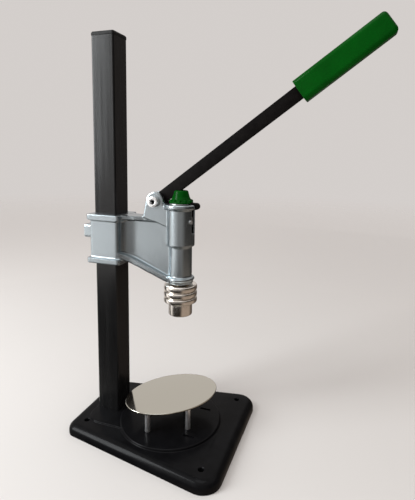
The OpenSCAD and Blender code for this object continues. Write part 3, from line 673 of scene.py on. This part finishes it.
def spun(profile, centre, closed, steps):
    """Spins profile points, radius and height, a full turn about a vertical axis."""
    shape = bmesh.new()
    points = [shape.verts.new((centre[0] + r, centre[1], z)) for r, z in profile]
    pairs = zip(points, points[1:] + points[:1]) if closed else zip(points, points[1:])
    edges = [shape.edges.new(pair) for pair in pairs]
    bmesh.ops.spin(
        shape, geom=points + edges, cent=(*centre, 0), axis=(0, 0, 1),
        angle=2 * math.pi, steps=steps, use_merge=True,
    )
    bmesh.ops.remove_doubles(shape, verts=shape.verts, dist=SPUN_WELD)
    bmesh.ops.recalc_face_normals(shape, faces=shape.faces)
    return shape


def turned(profile, centre, steps=48):
    """A solid of revolution whose profile starts and ends on the axis."""
    return spun(profile, centre, False, steps)


def arc(centre, radius, start, end, steps):
    """Points of an arc in a profile, by angle in degrees."""
    angles = [math.radians(start + (end - start) * i / steps) for i in range(steps + 1)]
    return [(centre[0] + radius * math.cos(a), centre[1] + radius * math.sin(a)) for a in angles]


foot_r = SEAT_H - SEAT_ROUND
profile = [(0, BASE_TOP - SINK), (SEAT_R + foot_r, BASE_TOP - SINK)]
profile += arc((SEAT_R + foot_r, BASE_TOP + foot_r), foot_r, 270, 180, 5)
profile += arc((SEAT_R - SEAT_ROUND, BASE_TOP + foot_r), SEAT_ROUND, 0, 90, 7)[1:]
profile += [(0, BASE_TOP + SEAT_H)]
seat = object_from(turned(profile, (0, SEAT_Y), 128), "seat")
print("seat:", len(seat.data.polygons), "faces")
cut(base, seat, "UNION")

# %% [markdown]
# Four plain holes take bench screws, two stepped bores take the column's bolts from below, and two
# short slots lie in the round seat. Each bench hole is cut with a turned plug that flares at the
# top, which leaves a small countersunk edge under the paint. Every plug runs a little past the
# surface that it cuts.

# %% Base: holes and slots
BENCH_HOLES = ((0.0415, 0.0145), (-0.0415, 0.0145), (0.070, -0.150), (-0.070, -0.150))
HOLE_R, FLARE = 0.00325, 0.0006
BOLT_Y, BOLT_R, BOLT_HEAD_R, BOLT_HEAD_DEEP = 0.0075, 0.0033, 0.00525, 0.007
SLOT_X, SLOT_FRONT, SLOT_W, SLOT_L, SLOT_DEEP = 0.029, SEAT_Y - 0.044, 0.0035, 0.0145, 0.0015
SEAT_TOP = BASE_TOP + SEAT_H
PAST = 0.001
ABOVE = SEAT_TOP + PAST


def block(size, place):
    """A block with its middle at a place."""
    shape = bmesh.new()
    bmesh.ops.create_cube(shape, size=1.0)
    bmesh.ops.scale(shape, vec=size, verts=shape.verts)
    bmesh.ops.translate(shape, vec=place, verts=shape.verts)
    return shape


for spot in BENCH_HOLES:
    plug = turned([
        (0, -PAST), (HOLE_R, -PAST), (HOLE_R, BASE_TOP - FLARE), (HOLE_R + FLARE, BASE_TOP),
        (HOLE_R + FLARE, ABOVE), (0, ABOVE)], spot)
    cut(base, object_from(plug, "plug"))
for y in (-BOLT_Y, BOLT_Y):
    bore = turned([
        (0, -PAST), (BOLT_HEAD_R, -PAST), (BOLT_HEAD_R, BOLT_HEAD_DEEP), (BOLT_R, BOLT_HEAD_DEEP),
        (BOLT_R, ABOVE), (0, ABOVE)], (0, y))
    cut(base, object_from(bore, "bore"))
for x in (-SLOT_X, SLOT_X):
    groove = block((SLOT_W, SLOT_L, 2 * SLOT_DEEP), (x, SLOT_FRONT + SLOT_L / 2, SEAT_TOP))
    upright = [e for e in groove.edges if abs(e.verts[0].co.z - e.verts[1].co.z) > SLOT_DEEP]
    rounded(groove, upright, SLOT_W * 0.45, 5)
    cut(base, object_from(groove, "groove"))
stands_for(base, "base_plate")

# %% [markdown]
# ## Riser plate
# The oval plate is polished sheet. A circle scaled to an oval keeps an even ring of edges, which a
# small bevel then breaks on both sides, so the rim catches one thin line of light.

# %% Riser plate
PLATE_LONG, PLATE_WIDE, PLATE_T, PLATE_TURN = 0.120, 0.082, 0.002, math.radians(139)
PLATE_EDGE = 0.0006
low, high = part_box("riser_plate")
shape = bmesh.new()
bmesh.ops.create_circle(shape, cap_ends=True, radius=0.5, segments=160)
raised(shape, PLATE_T)
bmesh.ops.scale(shape, vec=(PLATE_LONG, PLATE_WIDE, 1), verts=shape.verts)
plate_turn = Matrix.Rotation(PLATE_TURN, 3, "Z")
bmesh.ops.rotate(shape, cent=(0, 0, 0), matrix=plate_turn, verts=shape.verts)
bmesh.ops.translate(shape, vec=(0, (low.y + high.y) / 2, low.z), verts=shape.verts)
rims = [e for e in shape.edges if abs(e.verts[0].co.z - e.verts[1].co.z) < PLATE_T / 2]
rounded(shape, rims, PLATE_EDGE, 4)
bmesh.ops.recalc_face_normals(shape, faces=shape.faces)
stands_for(object_from(shape, "oval_riser"), "riser_plate")

# %% [markdown]
# ## Head casting
# A casting has no sharp edge: every corner is rounded by the mould and every inside corner is
# filled. Bevelling each edge of such a shape is long work. A voxel remesh of a copy turns the whole
# skin into small even quads, and a little smoothing softens all its edges at once, inside and out.

# %% Head casting
CAD_WELD = 1e-6


def merged_copy(node):
    """A bmesh of a CAD node with its loose triangles merged."""
    shape = bmesh.new()
    shape.from_mesh(nodes[node].data)
    bmesh.ops.remove_doubles(shape, verts=shape.verts, dist=CAD_WELD)
    return shape


def soft_copy(node, name, voxel, passes):
    """A copy of a CAD node with all its edges softened, as cast or moulded."""
    thing = object_from(merged_copy(node), name)
    with_modifier(thing, "REMESH", mode="VOXEL", voxel_size=voxel)
    shape = bmesh.new()
    shape.from_mesh(thing.data)
    for _ in range(passes):
        bmesh.ops.smooth_vert(
            shape, verts=shape.verts, factor=0.5,
            use_axis_x=True, use_axis_y=True, use_axis_z=True)
    shape.to_mesh(thing.data)
    shape.free()
    stands_for(thing, node)


soft_copy("head_casting", "cast_head", voxel=0.00085, passes=2)

# %% [markdown]
# ## Ram cap
# The cap on the ram is moulded plastic with a ring of small lobes round its brim. It is softened
# in the same way, with finer voxels.

# %% Ram cap
soft_copy("ram_cap", "lobed_cap", voxel=0.00032, passes=4)

# %% [markdown]
# ## Ribbed collar
# The collar is turned from bar, with three broad round ribs. Its closed profile is drawn once and
# spun, and a radial hole is cut for the set screw.

# %% Ribbed collar
CRIMP_Y = -0.0945
COLLAR_R, COLLAR_ROOT, RIBS, RIB_ROUND, GROOVE = 0.020, 0.0179, 3, 0.0017, 0.0005
DIE_SEAT_R, DIE_SEAT_TOP, SHAFT_R = 0.01427, 0.1827, 0.00702
SET_SCREW_R, SET_SCREW_L, SET_SCREW_AT = 0.00202, 0.018, (0.015, CRIMP_Y, 0.1879)


def ring(profile, centre, steps=96):
    """A hollow solid of revolution with a closed profile."""
    return spun(profile, centre, True, steps)


low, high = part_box("ribbed_collar")
rib = (high.z - low.z) / RIBS
profile = [(DIE_SEAT_R, low.z), (COLLAR_ROOT, low.z)]
for i in range(RIBS):
    under, over = low.z + rib * i + GROOVE, low.z + rib * (i + 1) - GROOVE
    inner = COLLAR_R - RIB_ROUND
    profile += [(COLLAR_ROOT, under)]
    profile += arc((inner, under + RIB_ROUND), RIB_ROUND, 270, 360, 6)
    profile += arc((inner, over - RIB_ROUND), RIB_ROUND, 0, 90, 6)
    profile += [(COLLAR_ROOT, over)]
profile += [(COLLAR_ROOT, high.z), (SHAFT_R, high.z)]
profile += [(SHAFT_R, DIE_SEAT_TOP), (DIE_SEAT_R, DIE_SEAT_TOP)]
collar = object_from(ring(profile, (0, CRIMP_Y)), "round_ribs")
hole = bmesh.new()
across = Matrix.Translation(SET_SCREW_AT) @ Matrix.Rotation(math.pi / 2, 4, "Y")
bmesh.ops.create_cone(
    hole, cap_ends=True, segments=32, radius1=SET_SCREW_R, radius2=SET_SCREW_R,
    depth=SET_SCREW_L, matrix=across)
cut(collar, object_from(hole, "screw_hole"))
stands_for(collar, "ribbed_collar")

# %% [markdown]
# ## Eased edges
# Flat and turned pieces keep their form, but no real edge is a knife edge. A copy of each such CAD
# solid is merged, its flat triangles are joined, and every sharp edge gets a narrow round that
# catches the light.

# %% Eased copies
STEEP, NEARLY_FLAT = math.radians(40), math.radians(1)
EASED = (
    ("lever_bar", "flat_lever", 0.0005), ("column_cap", "end_cap", 0.0004),
    ("pivot_bolt", "socket_bolt", 0.0004), ("pivot_nut", "hex_nut", 0.0004),
    ("crimp_sleeve", "die_sleeve", 0.0003), ("riser_posts", "bright_posts", 0.0003),
)


def eased_copy(node, name, width):
    """A copy of a CAD node with a narrow round along each sharp edge."""
    shape = merged_copy(node)
    bmesh.ops.dissolve_limit(
        shape, angle_limit=NEARLY_FLAT, verts=shape.verts, edges=shape.edges)
    sharp = [e for e in shape.edges if e.is_manifold and e.calc_face_angle() > STEEP]
    rounded(shape, sharp, width, 2, clamp=True)
    stands_for(object_from(shape, name), node)


for node, name, width in EASED:
    eased_copy(node, name, width)

# %% [markdown]
# ## Hand grip
# The grip is a plastic handle: a flat bar with round long edges and a round outer end. A cube is
# bevelled along its length, narrowed a little outwards and bevelled round its ends, and a slot is
# cut for the lever.

# %% Hand grip
PIVOT = Vector((0, -0.0642, 0.2915))
BAR_ANGLE, LEVER_LEN = math.radians(36.8), 0.3065
GRIP = Vector((0.020, 0.104, 0.0253))
GRIP_EDGE, GRIP_END, GRIP_MOUTH = 0.0054, 0.004, 0.0006
GRIP_TAPER, GRIP_CLOSED, BAR_SLOT_W, BAR_SLOT_H = (0.93, 1, 0.945), 0.009, 0.00604, 0.01454
HAIR = 1e-6

middle = GRIP.y / 2 - LEVER_LEN
shape = block(GRIP, (0, middle, 0))
along = [e for e in shape.edges if abs(e.verts[0].co.y - e.verts[1].co.y) > GRIP.y / 2]
rounded(shape, along, GRIP_EDGE, 10)
outer = [v for v in shape.verts if v.co.y < middle]
bmesh.ops.scale(shape, vec=GRIP_TAPER, verts=outer)
end = [e for e in shape.edges if all(v.co.y < HAIR - LEVER_LEN for v in e.verts)]
rounded(shape, end, GRIP_END, 8)
mouth = [e for e in shape.edges if all(v.co.y > GRIP.y - LEVER_LEN - HAIR for v in e.verts)]
rounded(shape, mouth, GRIP_MOUTH, 3)
bmesh.ops.recalc_face_normals(shape, faces=shape.faces)
grip = object_from(shape, "green_grip")

slot = block((BAR_SLOT_W, GRIP.y, BAR_SLOT_H), (0, middle + GRIP_CLOSED, 0))
cut(grip, object_from(slot, "slot"))
tilt = Matrix.Translation(PIVOT) @ Matrix.Rotation(-BAR_ANGLE, 4, "X")
grip.data.transform(tilt)
stands_for(grip, "hand_grip")

# %% [markdown]
# ## Springs
# A coil is a small circle carried round an axis and lifted a little at every step, which is what a
# spin with a lift does. Each spring stands still at one end and is squashed as its joint moves.

# %% Springs
TURN_STEPS, WIRE_SIDES = 28, 12


def coil(node, name, mean, wire, turns):
    """A coil of round wire between a CAD spring's lower and upper end."""
    low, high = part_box(node)
    steps = TURN_STEPS * turns
    climb = (high.z - low.z - wire) / steps
    shape = bmesh.new()
    start = Matrix.Translation((mean / 2, CRIMP_Y, low.z + wire / 2))
    place = start @ Matrix.Rotation(math.pi / 2, 4, "X")
    bmesh.ops.create_circle(
        shape, cap_ends=False, radius=wire / 2, segments=WIRE_SIDES, matrix=place)
    bmesh.ops.spin(
        shape, geom=shape.verts[:] + shape.edges[:], cent=(0, CRIMP_Y, 0), axis=(0, 0, 1),
        dvec=(0, 0, climb), angle=2 * math.pi * turns, steps=steps,
    )
    ends = [e for e in shape.edges if e.is_boundary]
    bmesh.ops.holes_fill(shape, edges=ends, sides=WIRE_SIDES)
    bmesh.ops.recalc_face_normals(shape, faces=shape.faces)
    thing = object_from(shape, name)
    stands_for(thing, node)
    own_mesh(thing)


coil(
    "return_spring", "return_coil", mean=0.01775, wire=0.002, turns=9)
coil(
    "collet_spring", "collet_coil", mean=0.0217, wire=0.0012, turns=3)
